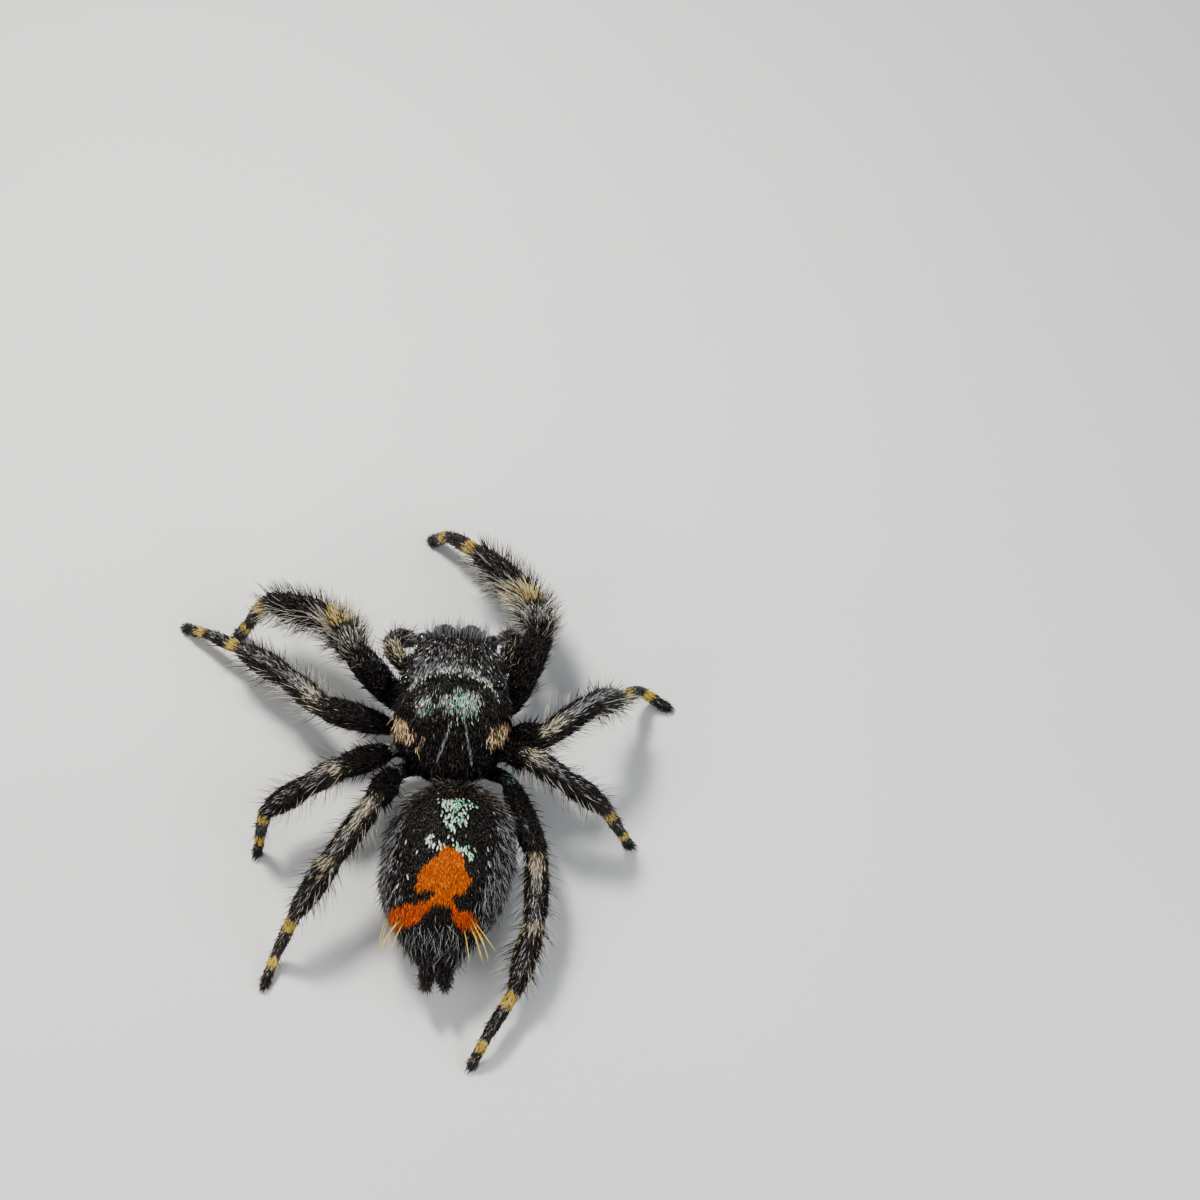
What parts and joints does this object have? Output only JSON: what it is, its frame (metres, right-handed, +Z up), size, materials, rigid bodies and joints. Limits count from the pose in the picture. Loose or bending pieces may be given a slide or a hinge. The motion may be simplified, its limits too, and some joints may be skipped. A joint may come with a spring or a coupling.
{
  "type": "bold jumping spider",
  "caption": "Life-size still model of a hairy black jumping spider with an orange mark on its abdomen, standing on its feet in a walking pose.",
  "frame": {"origin": "on the floor, under the middle of the box that holds the whole spider", "axes": "+Z up; the spider faces -Y and its left side is at +X"},
  "size_m": [0.0118, 0.0138, 0.0035],
  "materials": {
    "body_coat": "short glossy black hair",
    "abdomen_coat": "black hair with an orange mark and pale iridescent scales",
    "leg_coat": "bristly black hair with grey stripes and golden bands",
    "cuticle": "satin dark brown cuticle",
    "jaw": "iridescent green, glossy",
    "eye": "glossy black"
  },
  "bodies": {
    "root": {"carapace": "body_coat", "abdomen": "abdomen_coat", "pedicel": "cuticle", "sternum": "cuticle", "mouthparts": "cuticle", "spinnerets": "cuticle", "chelicera_left": "jaw", "chelicera_right": "jaw", "pedipalp_left": "leg_coat", "pedipalp_right": "leg_coat", "eye_main_left": "eye", "eye_main_right": "eye", "eye_front_side_left": "eye", "eye_front_side_right": "eye", "eye_small_left": "eye", "eye_small_right": "eye", "eye_rear_left": "eye", "eye_rear_right": "eye", "leg_1_left_femur": "leg_coat", "leg_1_left_tibia": "leg_coat", "leg_1_left_foot": "leg_coat", "leg_2_left_femur": "leg_coat", "leg_2_left_tibia": "leg_coat", "leg_2_left_foot": "leg_coat", "leg_3_left_femur": "leg_coat", "leg_3_left_tibia": "leg_coat", "leg_3_left_foot": "leg_coat", "leg_4_left_femur": "leg_coat", "leg_4_left_tibia": "leg_coat", "leg_4_left_foot": "leg_coat", "leg_1_right_femur": "leg_coat", "leg_1_right_tibia": "leg_coat", "leg_1_right_foot": "leg_coat", "leg_2_right_femur": "leg_coat", "leg_2_right_tibia": "leg_coat", "leg_2_right_foot": "leg_coat", "leg_3_right_femur": "leg_coat", "leg_3_right_tibia": "leg_coat", "leg_3_right_foot": "leg_coat", "leg_4_right_femur": "leg_coat", "leg_4_right_tibia": "leg_coat", "leg_4_right_foot": "leg_coat"}
  },
  "joints": []
}
